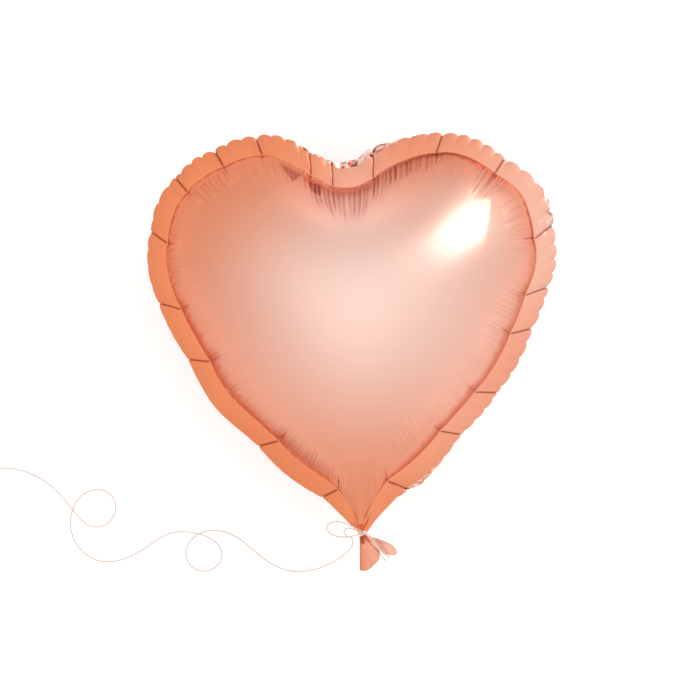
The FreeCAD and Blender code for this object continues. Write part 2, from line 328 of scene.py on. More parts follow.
def blown_up(flat, triangles, rim_count):
    """Rise of a film under even pressure and tension, 0 at the rim and 1 at its highest."""
    corners = flat[np.array(triangles)]
    count = len(flat)
    stiffness, load = np.zeros((count, count)), np.zeros(count)
    for k in range(3):
        here, ahead, behind = (np.array(triangles)[:, (k + j) % 3] for j in range(3))
        u, v = corners[:, (k + 1) % 3] - corners[:, k], corners[:, (k + 2) % 3] - corners[:, k]
        area = np.abs(u[:, 0] * v[:, 1] - u[:, 1] * v[:, 0])
        weight = np.sum(u * v, axis=1) / area / 2
        for i, j, sign in ((ahead, behind, -1), (behind, ahead, -1), (ahead, ahead, 1), (behind, behind, 1)):
            np.add.at(stiffness, (i, j), sign * weight)
        np.add.at(load, here, area / 6)
    free = np.arange(rim_count, count)
    rise = np.zeros(count)
    rise[free] = np.linalg.solve(stiffness[np.ix_(free, free)], load[free])
    return rise / rise.max()


def finer(points, faces):
    """Two rounds of subdivision, which smooth the triangles away."""
    mesh = bpy.data.meshes.new("finer")
    mesh.from_pydata(points.tolist(), [], faces)
    holder = add_object("finer", mesh)
    split = holder.modifiers.new("split", "SUBSURF")
    split.levels = 2
    split.boundary_smooth = "PRESERVE_CORNERS"
    made = holder.evaluated_get(bpy.context.evaluated_depsgraph_get()).to_mesh()
    result = np.array([v.co for v in made.vertices])
    made.calc_loop_triangles()
    triangles = np.array([t.vertices[:] for t in made.loop_triangles])
    bpy.data.objects.remove(holder)
    bpy.data.meshes.remove(mesh)
    return result, triangles


# ---- the foil's outline
# Outer edge of the sealed band, in mm: cleft to neck, down the right and down the left.
RIGHT_EDGE = [
    (0, 119), (20, 128.5), (46, 140.5), (70, 146.5), (95, 147), (122, 138), (147, 121),
    (167, 104), (179, 80), (185, 48), (184, 24), (174, -5), (155, -48), (128, -90),
    (98, -122), (68, -153), (41, -174), (16, -194.5), (9.5, -205),
]
LEFT_EDGE = [
    (-20, 127), (-44, 141), (-69, 151.5), (-96, 149.5), (-124, 140), (-149, 125),
    (-168.5, 104), (-179, 80), (-184.5, 44), (-181.5, 20), (-169, -15), (-150, -53),
    (-129, -91), (-100, -121), (-66, -156), (-40, -175.5), (-18, -194.5), (-11.5, -205),
]
BAND = 17.0 * MM
# Directions, seen from the heart's middle, of the pinches that draw the band in, and
# how far each one runs on into the face, in mm.
PINCHES = {
    58: 14, 79: 30, 97: 40, 105: 14, 120: 8, 132: 12, 145: 8, 161: 9, 181: 11, 200: 16,
    236: 10, 259: 22, 283: 15, 305: 10, 323: 13, 346: 15, 359: 7, 376: 14, 399: 26,
}


def angle_of(points):
    away = points[:, :2] - MIDDLE
    return np.degrees(np.arctan2(away[:, 1], away[:, 0])) % 360


def angle_off(angles, middle):
    return np.abs((angles - middle + 180) % 360 - 180)

def near_angle(angles, middle, reach):
    """1 at an angle, falling to 0 a reach away."""
    return np.exp(-(angle_off(angles, middle) / reach) ** 2)

def bumps(angles, rows, base=0.0):
    """A base value with bumps round the heart, each a height, a middle and a reach."""
    return sum((height * near_angle(angles, middle, reach) for height, middle, reach in rows), base)

INWARD_EVENED = 130.0  # columns over which the directions are evened


class Rim:
    """The seam and the band's outer edge at the grid's columns."""

    def __init__(self, shares):
        line = curve_through(np.array(RIGHT_EDGE[::-1] + LEFT_EDGE, float) * MM)
        even = at_shares(line, np.linspace(0, 1, 4001))
        along = np.gradient(even, axis=0)
        along /= np.linalg.norm(along, axis=1)[:, None]
        inward = np.stack([-along[:, 1], along[:, 0]], axis=1)
        place = np.linspace(0, 1, len(even))
        to_neck = np.minimum(place, 1 - place) * lengths_along(even)[-1]
        inset = BAND * (0.5 + 0.5 * smoothstep(0, 45 * MM, to_neck))
        seam = even + inward * inset[:, None]
        self.seam, self.edge = self._read(seam, shares), self._read(even, shares)

        # Directions square to the seam, evened out over a hand's width.
        along = np.roll(self.seam, -1, axis=0) - np.roll(self.seam, 1, axis=0)
        square = np.stack([-along[:, 1], along[:, 0]], axis=1)
        square /= np.linalg.norm(square, axis=1)[:, None]
        waves = np.fft.rfftfreq(len(shares))[:, None] * INWARD_EVENED
        square = np.fft.irfft(np.fft.rfft(square, axis=0) * np.exp(-waves ** 2), len(shares), axis=0)
        self.inward = square / np.linalg.norm(square, axis=1)[:, None]
        self.to_middle = MIDDLE - self.seam
        self.reach = np.linalg.norm(self.to_middle, axis=1)
        self.from_neck = np.clip(np.minimum(shares, 1 - shares), 0, 1) * lengths_along(seam)[-1]
        self.squareness = smoothstep(35 * MM, 100 * MM, self.from_neck)
        self.squareness *= 1 - 0.75 * near_angle(angle_of(self.seam), 90, 32)

    def lines(self, rows):
        """Grid lines that leave the seam squarely and end at the heart's middle."""
        straight = self.seam[:, None] + self.to_middle[:, None] * rows[None, :, None]
        run = (self.reach[:, None] * rows[None])[..., None]
        square = self.seam[:, None] + self.inward[:, None] * run
        share = self.squareness[:, None] * (1 - smoothstep(0.04, 0.55, rows))[None]
        return straight + (square - straight) * share[..., None]

    @staticmethod
    def _read(line, shares):
        """Shares up to 1 run along the open line, and past 1 across the neck, which closes it."""
        points = at_shares(line, np.clip(shares, 0, 1))
        return points + (line[0] - line[-1]) * np.clip(shares - 1, 0, 1)[:, None]

# ---- columns and rows of the grid
SEAM_COLUMNS = 1408  # along the seam, about 0.8 mm apart
NECK_COLUMNS = 32  # across the neck
COLUMNS = SEAM_COLUMNS + NECK_COLUMNS
COARSE_COLUMNS = 180  # columns at which the blown-up mesh is read
COARSE_ROWS = np.r_[0, np.linspace(0.03, 1.0, 17) ** 1.35, 1.08, 1.16]
BROAD_SCALE = 0.2  # metres to one unit of the smooth fit
BROAD_DEGREE = 8  # and its highest power
INNER_ROWS = 9  # coarse rows from here on are smoothed more
RIM_ROWS = 34  # rows with every column, close to the seam
RIM_REACH = 0.27  # share of the way to the middle that they cover
# Rows further in, with half the columns each time: from, to and count.
HALVINGS = [(RIM_REACH, 0.42, 11), (0.42, 0.62, 10), (0.62, 0.84, 9), (0.84, 0.985, 6)]


def read_off(flat, triangles, heights, places):
    """Heights of the blown-up shape at places on the flat panel."""
    flat_points = [Vector((x, y, 0)) for x, y in flat[:, :2]]
    tree = BVHTree.FromPolygons(flat_points, triangles.tolist())
    found = [tree.find_nearest(Vector((x, y, 0))) for x, y in places]
    hit = np.array([f[2] for f in found])
    spot = np.array([f[0][:2] for f in found])
    a, b, c = (flat[triangles[hit, k], :2] for k in range(3))
    ab, ac, ap = b - a, c - a, spot - a
    area = ab[:, 0] * ac[:, 1] - ab[:, 1] * ac[:, 0]
    v = (ap[:, 0] * ac[:, 1] - ap[:, 1] * ac[:, 0]) / area
    w = (ab[:, 0] * ap[:, 1] - ab[:, 1] * ap[:, 0]) / area
    at_a, at_b, at_c = (heights[triangles[hit, k]] for k in range(3))
    return at_a + (at_b - at_a) * v + (at_c - at_a) * w

def smooth_columns(grid, rounds):
    """Light smoothing round the loop, on a columns by rows grid."""
    for _ in range(rounds):
        grid = (np.roll(grid, 1, axis=0) + 2 * grid + np.roll(grid, -1, axis=0)) / 4
    return grid


def broad_terms(places):
    """Products of powers of x and y, for a smooth fit of the whole face."""
    x, y = places[..., 0] / BROAD_SCALE, places[..., 1] / BROAD_SCALE
    powers = [(i, k) for i in range(BROAD_DEGREE + 1) for k in range(BROAD_DEGREE + 1 - i)]
    return np.stack([x ** i * y ** k for i, k in powers], axis=-1)


def even_rise(rim, rows):
    """Rise of the blown-up film at the grid's places, free of its triangles' marks."""
    flat, triangles, rim_count = flat_mesh(rim.seam[:SEAM_COLUMNS + 1])
    rise = blown_up(flat, triangles, rim_count)
    fine_flat, fine_triangles = finer(np.c_[flat, np.zeros(len(flat))], triangles)
    fine_rise = finer(np.c_[flat, rise], triangles)[0][:, 2]
    step = COLUMNS // COARSE_COLUMNS
    read_at = rim.lines(COARSE_ROWS)[::step]
    read = read_off(fine_flat, fine_triangles, fine_rise, read_at.reshape(-1, 2))
    coarse = read.reshape(COARSE_COLUMNS, len(COARSE_ROWS))
    # Only what differs from a smooth fit is evened and drawn through the grid, because the
    # grid's lines turn a corner at the neck.
    at_read = broad_terms(read_at)
    fit = np.linalg.lstsq(at_read.reshape(coarse.size, -1), coarse.ravel(), rcond=None)[0]
    broad = at_read @ fit
    coarse = coarse - broad
    # Evened out round the loop, except beside the neck.
    evened = smooth_columns(coarse, 2)
    evened[:, INNER_ROWS:] = smooth_columns(evened[:, INNER_ROWS:], 4)
    at_corner = (1 - rim.squareness[::step])[:, None] * (1 - smoothstep(0.12, 0.35, COARSE_ROWS))
    coarse = evened + (coarse - evened) * at_corner
    coarse[:, 0] = -broad[:, 0]
    fine_rows = spline_at(COARSE_ROWS, coarse.T, rows).T
    rise = loop_spline(fine_rows, np.arange(COLUMNS) / COLUMNS) + broad_terms(rim.lines(rows)) @ fit
    return np.clip(rise - rise[:, :1] * (1 - rows) ** 4, 0, None)

def base_surface(grid):
    """The smooth blown-up panel on the fine grid, from the seam to the middle."""
    flat_xy, inside = grid.rim.lines(grid.rows), grid.distance
    rise = even_rise(grid.rim, grid.rows)
    seam_angles = angle_of(grid.rim.seam)
    under_cleft = near_angle(seam_angles, 90, 30)[:, None]
    power = PROFILE_POWER[grid.side] + CLEFT_POWER * under_cleft * (1 - smoothstep(0.2, 0.8, grid.rows))
    height = (rise / rise.max()) ** power * HALF_DEPTH
    steep = STEEP_SEAM * near_angle(seam_angles, 42, 30)[:, None]
    height += steep * (1 - np.exp(-inside / STEEP_SEAM)) * (1 - smoothstep(10 * MM, 45 * MM, inside))
    beside_neck = 0.6 * (1 - smoothstep(0, 6 * MM, grid.rim.from_neck[:, None]))
    off_seam = np.maximum(beside_neck, smoothstep(0, 4 * MM, inside))
    off_seam = np.where(grid.shares[:, None] > 1, 1.0, off_seam)
    height += NECK_OPEN * off_seam * np.exp(-(flat_xy[..., 0] / NECK_SPREAD) ** 2) * (
        1 - smoothstep(-192 * MM, -160 * MM, flat_xy[..., 1]))
    if grid.side < 0:
        # The back rests on the floor: its lowest part is pressed flat.
        height = HALF_DEPTH - PRESS * np.logaddexp(0, (HALF_DEPTH - height * 1.015) / PRESS)
        height = np.clip(height, 0, HALF_DEPTH)
    return np.concatenate([flat_xy, grid.side * height[:, :, None]], axis=2)

# ---- wrinkles, pinches and band
# Groups of fine pleats square to the seam: middle and spread in degrees, then the pleats'
# pitch, width, start, end and height in mm.
PLEATS = [
    (91, 19, 4.7, 1.25, 1, 40, 0.70),
    (66, 8, 5.0, 1.3, 1, 24, 0.70),
    (139, 8, 5.2, 1.35, 3, 32, 0.50),
    (165, 12, 4.6, 1.2, 1, 15, 0.35),
    (209, 16, 3.8, 1.0, 1, 14, 0.40),
    (246, 13, 3.8, 1.2, 1, 22, 0.48),
    (296, 13, 2.7, 0.75, 9, 40, 0.40),
    (324, 15, 2.9, 0.75, 9, 42, 0.42),
    (350, 12, 3.6, 0.85, 2, 30, 0.40),
    (16, 5, 3.0, 0.80, 1, 28, 0.40),
    (39, 5, 3.4, 0.85, 1, 32, 0.65),
]
PLEATS_EVERYWHERE = (11 * MM, 2.6 * MM, 1 * MM, 30 * MM, 0.4 * MM)
# painted shade in the pleats' valleys
PLEAT_PAINTED_SHADE = 0.46
STEEP_SHADE = 0.13  # painted shade where the film slopes more than it lies, which dims its reflection of the bright floor


def pleats(grid, strength, pitch, width, start, end, height, seed):
    """Narrow valleys square to the seam, unevenly spaced, that fade towards the middle."""
    rng = np.random.default_rng(seed)
    count = round(grid.seam_length / pitch)
    spots = (np.arange(count) + rng.uniform(-0.2, 0.2, count)) * grid.seam_length / count
    local = np.minimum(1.5 * np.interp(spots, grid.position, strength), 1) * rng.uniform(0.6, 1.2, count)
    ends = end * rng.uniform(0.75, 1.1, count) * (0.45 + 0.55 * np.minimum(local, 1))
    ends = np.maximum(ends, start + 4 * MM)
    valley = np.exp(-(grid.off_from(spots) / width) ** 2)
    along = np.interp(spots, grid.position, grid.rim.reach)[:, None] * grid.rows[None]
    fade = smoothstep(start - 1 * MM, start * 1.5, along) * (1 - smoothstep(0.6, 1.0, along / ends[:, None]))
    return -height * (valley * local[None]) @ fade

# Patches beside the cleft painted darker, a painted dark reflection where the film folds under: corners in
# mm.
PAINTED_FACETS = [
    [(-74.0, 146.0), (-50.2, 107.4), (-36.0, 118.0)],
    [(-38.5, 113.5), (-32.5, 98.0), (-24.5, 93.5), (-21.5, 105.0)],
]


def inside_depth(points, corners):
    """How far points are inside a convex outline given counter-clockwise in mm."""
    corners = np.array(corners) * MM
    depth = np.full(points.shape[:-1], np.inf)
    for start, end in zip(corners, np.roll(corners, -1, axis=0)):
        along = (end - start) / np.linalg.norm(end - start)
        away = points - start
        depth = np.minimum(depth, along[0] * away[..., 1] - along[1] * away[..., 0])
    return depth


# Folds that fan out from the pinch at the upper right: angle seen from the pinch, height.
FAN_PINCH = np.array([132.8, 108.2]) * MM
FAN = [(225, 0.0), (250, 0.22), (257, 0.25), (264, -0.1), (278, -0.9), (300, -0.85), (330, 0.0)]
FAN_HEIGHT = 1.9 * MM


def fan_lift(points):
    away = points - FAN_PINCH
    size = np.hypot(away[..., 0], away[..., 1])
    angle = np.degrees(np.arctan2(away[..., 1], away[..., 0])) % 360
    shape = np.interp(angle, *zip(*FAN))
    return FAN_HEIGHT * shape * smoothstep(0, 26 * MM, size) * (1 - smoothstep(48 * MM, 100 * MM, size))


# Painted pale sheen on each panel, standing in for the reflection of the bright overhead light: its middle,
# and reach to the left, right, up and down.
SHEEN_MIDDLE = np.array([11.0, 9.0]) * MM
SHEEN_REACH = {"left": 113 * MM, "right": 134 * MM, "up": 83 * MM, "down": 121 * MM}
SHEEN_POWER = 1.2  # above 1, the painted sheen's edge is clearer
WINDOW_SHEEN = (np.array([106.0, 62.0]) * MM, 38 * MM, 0.65)  # painted highlight round the window's reflection: middle, reach and strength


# Painted sheen at points: pale in the panel's middle and round the window's reflection, standing in for
# reflected light.
def painted_sheen_at(points):
    away = points - SHEEN_MIDDLE
    across = np.where(away[..., 0] < 0, SHEEN_REACH["left"], SHEEN_REACH["right"])
    along = np.where(away[..., 1] > 0, SHEEN_REACH["up"], SHEEN_REACH["down"])
    # tight: the painted sheen about the panel's middle
    tight = np.exp(-((away[..., 0] / across) ** 2 + (away[..., 1] / along) ** 2) ** SHEEN_POWER)
    middle, reach, strength = WINDOW_SHEEN
    near = strength * np.exp(-(np.linalg.norm(points - middle, axis=-1) / reach) ** 2)
    return 1 - (1 - tight) * (1 - near)


PLEAT_SEEDS = {1: 11, -1: 41}  # of the front and of the back
GROOVE_DEPTH = 0.5 * MM  # along the middle of a pinch
HOLLOW_DEPTH = 0.9 * MM  # to both sides of it
BAND_ROWS = np.linspace(0, 1, 12)[1:] ** 1.2  # outward shares of the band's width
BAND_DROOP = 3.4 * MM
BAND_ARCH = 0.9 * MM  # between two pinches
SCALLOP_PITCH = 13.5 * MM
# Bumps round the heart, each a height, and a middle and a reach in degrees.
RUFFLED = [(0.5, 140, 28), (0.5, 10, 55)]
SCALLOPED = [(1.0, 25, 48), (0.8, 130, 28), (0.3, 320, 25), (-0.25, 225, 35)]
BACK_WIDER = [(8.0, 88, 22), (4.0, 20, 6), (5.0, 286, 9)]  # in mm
# Painted pale sheen on the band where it should reflect more light: strength, middle and reach.
BAND_PAINTED_SHEEN = [(0.52, 16, 34), (0.32, 88, 16), (0.22, 312, 26)]
# Painted shade beside the seam, where the film should reflect darker surroundings: strength, middle and
# reach, then start and end in mm.
PAINTED_SEAM_SHADE = [(0.26, 246, 15, 1, 15), (0.20, 62, 18, 3, 34), (0.16, 32, 12, 3, 26), (0.11, 90, 34, 22, 62),
        (0.20, 42, 30, 1, 6)]
NECK_TUBE = 2.35 * MM  # middle radius of the pleats under the twine
NECK_PLEATS = 13
TUBE_SHARE = 0.62  # share of the band's width at which the tube begins

class Grid:
    """One panel's columns round the seam and rows inward, with what its details share."""

    def __init__(self, side):
        self.side = side
        # 0 to 1 along the seam from the neck's right side, then 1 to 2 across the neck.
        self.shares = np.r_[np.linspace(0, 1, SEAM_COLUMNS, endpoint=False),
                            np.linspace(1, 2, NECK_COLUMNS, endpoint=False)]
        self.rim = Rim(self.shares)
        self.row_groups = [RIM_REACH * np.linspace(0, 1, RIM_ROWS) ** 1.2]
        self.row_groups += [np.linspace(low, high, count + 1)[1:] for low, high, count in HALVINGS]
        self.rows = np.concatenate(self.row_groups)
        steps = np.linalg.norm(np.roll(self.rim.seam, -1, axis=0) - self.rim.seam, axis=1)
        self.position = np.r_[0, np.cumsum(steps)[:-1]]
        self.seam_length = steps.sum()
        self.angles = angle_of(self.rim.edge)
        self.distance = self.rows[None] * self.rim.reach[:, None]
        from_neck = np.minimum(self.position, np.abs(self.position - self.position[SEAM_COLUMNS]))
        self.at_neck = np.where(self.shares >= 1, 1.0, 1 - smoothstep(4 * MM, 30 * MM, from_neck))
        self.add_pinches()

    def off_from(self, spots):
        """Distance along the seam of each column from each spot."""
        off = np.abs(self.position[:, None] - spots[None])
        return np.minimum(off, self.seam_length - off)

    def add_pinches(self):
        """Where the pinches are, and how far their grooves and hollows run on."""
        found = sorted((int(np.argmin(angle_off(self.angles, angle)[:SEAM_COLUMNS])), reach * MM)
                       for angle, reach in PINCHES.items())
        columns = [column for column, _ in found]
        reach = np.array([reach for _, reach in found])[:, None]
        self.pinches = self.position[columns]
        self.off_pinch = self.off_from(self.pinches)
        narrow, broad = (np.exp(-(self.off_pinch / width) ** 2) for width in (0.5 * MM, 7 * MM))
        along = self.rim.reach[columns][:, None] * self.rows[None]
        self.pinched = narrow.sum(axis=1)
        self.groove = narrow @ (1 - smoothstep(0.1, 1.0, along / reach))
        self.hollow = broad @ (1 - smoothstep(0.0, 1.0, along / (reach + 12 * MM)))

def face_of(grid):
    """The inflated face with its pleats, folds and pinches, and what its painted shade depends on."""
    surface = base_surface(grid)
    normal = smooth_normals(surface, grid.side)
    seed = PLEAT_SEEDS[grid.side]
    lift = np.zeros(surface.shape[:2])
    tint = np.zeros_like(lift)
    for i, (middle, spread, *sizes) in enumerate(PLEATS):
        sizes = [size * MM for size in sizes]
        group = pleats(grid, near_angle(grid.angles, middle, spread), *sizes, seed + i)
        lift += group
        # tint is the pleats' valley depth in mm, which their painted shade follows
        tint -= group / MM
    lift += pleats(grid, np.ones(COLUMNS), *PLEATS_EVERYWHERE, seed + 20)
    lift += fan_lift(surface[:, :, :2])
    lift -= GROOVE_DEPTH * grid.groove + HOLLOW_DEPTH * grid.hollow
    # Where the dark facets are painted: they change the colour only, not the shape.
    painted_facet = np.zeros_like(lift)
    for corners in PAINTED_FACETS:
        painted_facet = np.maximum(painted_facet, smoothstep(0, 1.4 * MM, inside_depth(surface[:, :, :2], corners)))
    open_neck = 1 - smoothstep(0.985, 1.0, grid.shares)
    surface = surface + normal * (lift * open_neck[:, None])[:, :, None]
    if grid.side < 0:
        surface[:, :, 2] = np.maximum(surface[:, :, 2], -HALF_DEPTH)
    return surface, normal, tint, painted_facet

def face_shade(grid, normal, tint, painted_facet):
    """Painted shade of the face, in its grooves, pleats and facets and where it turns away."""
    painted_dusk = np.zeros_like(tint)
    for strength, middle, reach, start, end in PAINTED_SEAM_SHADE:
        painted_dusk += strength * near_angle(grid.angles, middle, reach)[:, None] * (
            1 - smoothstep(start * MM, end * MM, grid.distance))
    # and a little painted shade all round near the seam
    painted_dusk += 0.05 * (1 - smoothstep(6 * MM, 60 * MM, grid.distance))
    steep = STEEP_SHADE * (1 - 0.75 * near_angle(grid.angles, 318, 34))
    painted_dusk += steep[:, None] * (1 - smoothstep(0.62, 0.82, np.abs(normal[:, :, 2])))
    # Pinch grooves, pleat valleys and the facets are painted darker.
    shade = np.clip(grid.groove * 0.9 + PLEAT_PAINTED_SHADE * tint + 0.42 * painted_facet + painted_dusk, 0, 1)
    # The painted shade is lifted beside the seam itself, apart from the upper right.
    light_seam = 0.85 * (1 - near_angle(grid.angles, 60, 30))
    return shade * (1 - light_seam[:, None] * (1 - smoothstep(2 * MM, 7 * MM, grid.distance)))

def band_of(grid, rim_points):
    """The band's rows outward from the seam, its extra width and the flakes along it."""
    rim, angles, position = grid.rim, grid.angles, grid.position
    ahead = np.searchsorted(grid.pinches, position)
    behind = grid.pinches[ahead - 1]
    gap = (grid.pinches[ahead % len(grid.pinches)] - behind) % grid.seam_length
    since = (position - behind) % grid.seam_length
    swell = np.clip(4 * (since / gap) * (1 - since / gap), 0, 1) ** 0.6
    outward = rim.edge - rim.seam
    outward /= np.linalg.norm(outward, axis=1)[:, None]
    ruffle = loop_noise(COLUMNS, 14, 21) * bumps(angles, RUFFLED, 0.35)
    extra = np.zeros(COLUMNS)
    if grid.side < 0:
        extra = bumps(angles, BACK_WIDER) * MM * (0.8 + 0.35 * loop_noise(COLUMNS, 14, 31))
    bumpy = np.clip(bumps(angles, SCALLOPED, 0.25), 0, 1)
    phase = position / SCALLOP_PITCH + 0.45 * loop_noise(COLUMNS, 60, 71)
    scallop = (np.abs(np.sin(math.pi * phase)) ** 0.5 - 0.75) * bumpy
    pillow = np.sin(math.pi * phase) ** 2 * bumpy
    edge_shift = ((swell - 0.6) * 1.8 + ruffle * 0.4 + scallop * 3.2) * MM + extra
    edge_shift -= 1.6 * MM * grid.pinched
    edge = rim.edge + outward * (edge_shift * (1 - grid.at_neck))[:, None]
    crinkle = loop_noise(COLUMNS, 6, 51)
    flakes = np.stack([loop_noise(COLUMNS, 4, 52 + j) for j in range(len(BAND_ROWS))], axis=1)
    band = []
    for j, v in enumerate(BAND_ROWS):
        out = v * (1 + extra / BAND)
        droop = -BAND_DROOP * out ** 1.25
        arch = BAND_ARCH * swell * np.sin(math.pi * np.minimum(out * 0.7, 1.0))
        height = droop + arch - 0.25 * MM * grid.pinched * smoothstep(0, 0.15, v)
        height = height + (ruffle * 0.3 + pillow * 0.5) * MM * out ** 2
        if grid.side < 0:
            creased = np.minimum(crinkle * 0.5 - 0.4, -0.1) + 0.12 * flakes[:, j]
            height = height + creased * extra * smoothstep(0.4, 0.8, v)
            height = height - 0.6 * MM * smoothstep(0, 1 * MM, extra) * smoothstep(0.1, 0.5, v)
        height = (height + 0.12 * MM * grid.side) * (1 - grid.at_neck) + rim_points[:, 2]
        band.append(np.c_[rim.seam + (edge - rim.seam) * v, height])
    return np.array(band).transpose(1, 0, 2), extra, flakes

def gather_neck(grid, band, rim_points):
    """Close the film's edge at the neck to half of a small pleated tube."""
    turn, at_neck = neck_angles(grid.shares), grid.at_neck[:, None]
    pleat = 1 + 0.16 * np.cos(turn * NECK_PLEATS)
    wraps_low, wraps_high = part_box("neck_wraps")
    start, end = wraps_high[1] + 1.4 * MM, wraps_low[1] - 0.9 * MM
    ring = np.stack([NECK_TUBE * pleat * np.cos(turn), np.full(COLUMNS, start),
                     grid.side * NECK_TUBE * pleat * np.sin(turn)], axis=1)
    for j, v in enumerate(BAND_ROWS):
        pull = smoothstep(0.0, 0.8, v)
        gathered = min(v / TUBE_SHARE, 1.0)
        target = rim_points + (ring - rim_points) * gathered
        target[:, 2] += grid.side * math.sin(math.pi * gathered) * 0.9 * MM * np.cos(turn * NECK_PLEATS)
        target[:, 1] += (end - start) * max(v - TUBE_SHARE, 0) / (1 - TUBE_SHARE)
        band[:, j] = band[:, j] * (1 - at_neck * pull) + target * at_neck * pull

def film_marks(grid, surface, shade, extra, flakes):
    """Painted shade and painted sheen of the band, from its outer edge inward, and of the face."""
    # Pinch lines painted dark, and the band's lower left painted a little darker.
    line = np.exp(-(grid.off_pinch / (0.8 * MM)) ** 2).sum(axis=1)
    dim = np.clip(1.15 * line, 0, 1) + 0.07 * near_angle(grid.angles, 245, 22)
    band_shade = np.repeat(dim[:, None], len(BAND_ROWS), axis=1)
    band_sheen = np.repeat(bumps(grid.angles, BAND_PAINTED_SHEEN)[:, None], len(BAND_ROWS), axis=1)
    if grid.side < 0:
        # The crinkled flakes on the back's wider band get painted shade and painted glints.
        flake_shade = np.clip(0.3 - flakes, 0, 0.8) * extra[:, None] / (6 * MM)
        bright = np.clip(0.6 + 2 * flakes, 0, 1) * extra[:, None] / (6 * MM)
        band_shade = np.clip(band_shade + flake_shade * (BAND_ROWS > 0.6), 0, 1)
        band_sheen = np.clip(band_sheen + bright * (BAND_ROWS > 0.6), 0, 1)
    crease = np.concatenate([band_shade[:, ::-1], shade], axis=1)
    face_sheen = 0.03 + 0.97 * painted_sheen_at(surface[:, :, :2])
    haze = np.concatenate([band_sheen[:, ::-1], face_sheen], axis=1) * (1 - 0.9 * crease ** 2)
    return {"crease": crease, "haze": haze}

def foil_panel(side, material):
    """One foil panel as a single film: inflated face, pinched band and half of the neck."""
    grid = Grid(side)
    surface, normal, tint, painted_facet = face_of(grid)
    rim_points = surface[:, 0].copy()
    band, extra, flakes = band_of(grid, rim_points)
    gather_neck(grid, band, rim_points)
    shade = face_shade(grid, normal, tint, painted_facet)
    marks = film_marks(grid, surface, shade, extra, flakes)
    whole = np.concatenate([band[:, ::-1], surface], axis=1)
    whole[:, :, 2] += SEAM_Z
    return build_panel(side, whole, marks, grid.row_groups, material)

def neck_angles(shares):
    """Angle round the neck of the columns near it: 0 at +X, half a turn at -X."""
    near = 0.030
    right = np.clip(shares / near, 0, 1)
    left = np.clip((1 - shares) / near, 0, 1)
    across = np.clip(shares - 1, 0, 1)
    turn = np.where(shares > 1, math.pi * (0.75 - 0.5 * across), 0.0)
    turn = np.where(shares <= 0.5, math.pi * 0.25 * (1 - right), turn)
    return np.where((shares > 0.5) & (shares <= 1), math.pi * (1 - 0.25 * (1 - left)), turn)


def smooth_normals(whole, side):
    """Outward normals of a columns by rows grid, free of the marks of its triangles."""
    around = np.roll(whole, -1, axis=0) - np.roll(whole, 1, axis=0)
    normal = np.cross(around, np.gradient(whole, axis=1))
    normal /= np.maximum(np.linalg.norm(normal, axis=2, keepdims=True), 1e-12)
    return normal * np.sign(np.median(normal[:, :, 2]) * side)

def build_panel(side, whole, marks, row_groups, material):
    """Faces of the grid: full columns near the rim, halved four times towards the middle."""
    columns, band_count = len(whole), len(BAND_ROWS)
    # The film turns sharply at the seam, so the band and the face each have their own normals.
    band_side = smooth_normals(whole[:, :band_count + 1], side)
    face_side = smooth_normals(whole[:, band_count:], side)
    all_normals = np.concatenate([band_side[:, :-1], face_side], axis=1)
    layers = {"place": whole, "normal": all_normals, **marks}
    kept = {key: [] for key in layers}
    faces = []

    def add_row(row, step):
        first = sum(map(len, kept["place"]))
        for key, values in layers.items():
            kept[key].append(values[::step, row])
        return np.arange(first, first + columns // step)

    def quads(outer, inner):
        faces.extend(zip(outer, np.roll(outer, -1), np.roll(inner, -1), inner))

    def halve(outer, inner):
        for a, b, c, here, ahead in zip(outer[::2], outer[1::2], np.roll(outer[::2], -1),
                                        inner, np.roll(inner, -1)):
            faces.extend([(a, b, here), (b, ahead, here), (b, c, ahead)])

    steps = [1] * (band_count + len(row_groups[0]))
    for halving, group in enumerate(row_groups[1:], 1):
        steps += [2 ** halving] * len(group)
    ring = add_row(0, 1)
    for row in range(1, len(steps)):
        inner = add_row(row, steps[row])
        (quads if steps[row] == steps[row - 1] else halve)(ring, inner)
        ring = inner
    hub = sum(map(len, kept["place"]))
    for key, values in layers.items():
        last = values[:1, -1] if key in marks else values[::steps[-1], -1].mean(axis=0)[None]
        kept[key].append(last)
    faces.extend(zip(ring, np.roll(ring, -1), [hub] * len(ring)))
    # The back's faces turn the other way.
    faces = [tuple(map(int, face))[::side] for face in faces]
    kept = {key: np.concatenate(values) for key, values in kept.items()}
    name = "front_foil" if side > 0 else "back_foil"
    piece = add_mesh(name, kept["place"], faces, material, {key: kept[key] for key in marks})
    corner = np.empty(len(piece.data.loops), int)
    piece.data.loops.foreach_get("vertex_index", corner)
    normals = kept["normal"][corner]
    on_band = np.flatnonzero(corner[:4 * band_count * columns] >= band_count * columns)
    normals[on_band] = band_side[corner[on_band] - band_count * columns, -1]
    piece.data.normals_split_custom_set(normals.tolist())
    return piece

def add_foil(material):
    outline = flat_pattern()
    for side, node in ((1, "front_foil_panel"), (-1, "back_foil_panel")):
        panel = foil_panel(side, material)
        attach(panel, "balloon")
        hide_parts(node)


# ---- twine
TWINE = 1.2 * MM
TWIST_PITCH = 3.8 * MM
TWINE_STEP = 0.45 * MM
FRAYING = 0.55  # how much a bare end swells
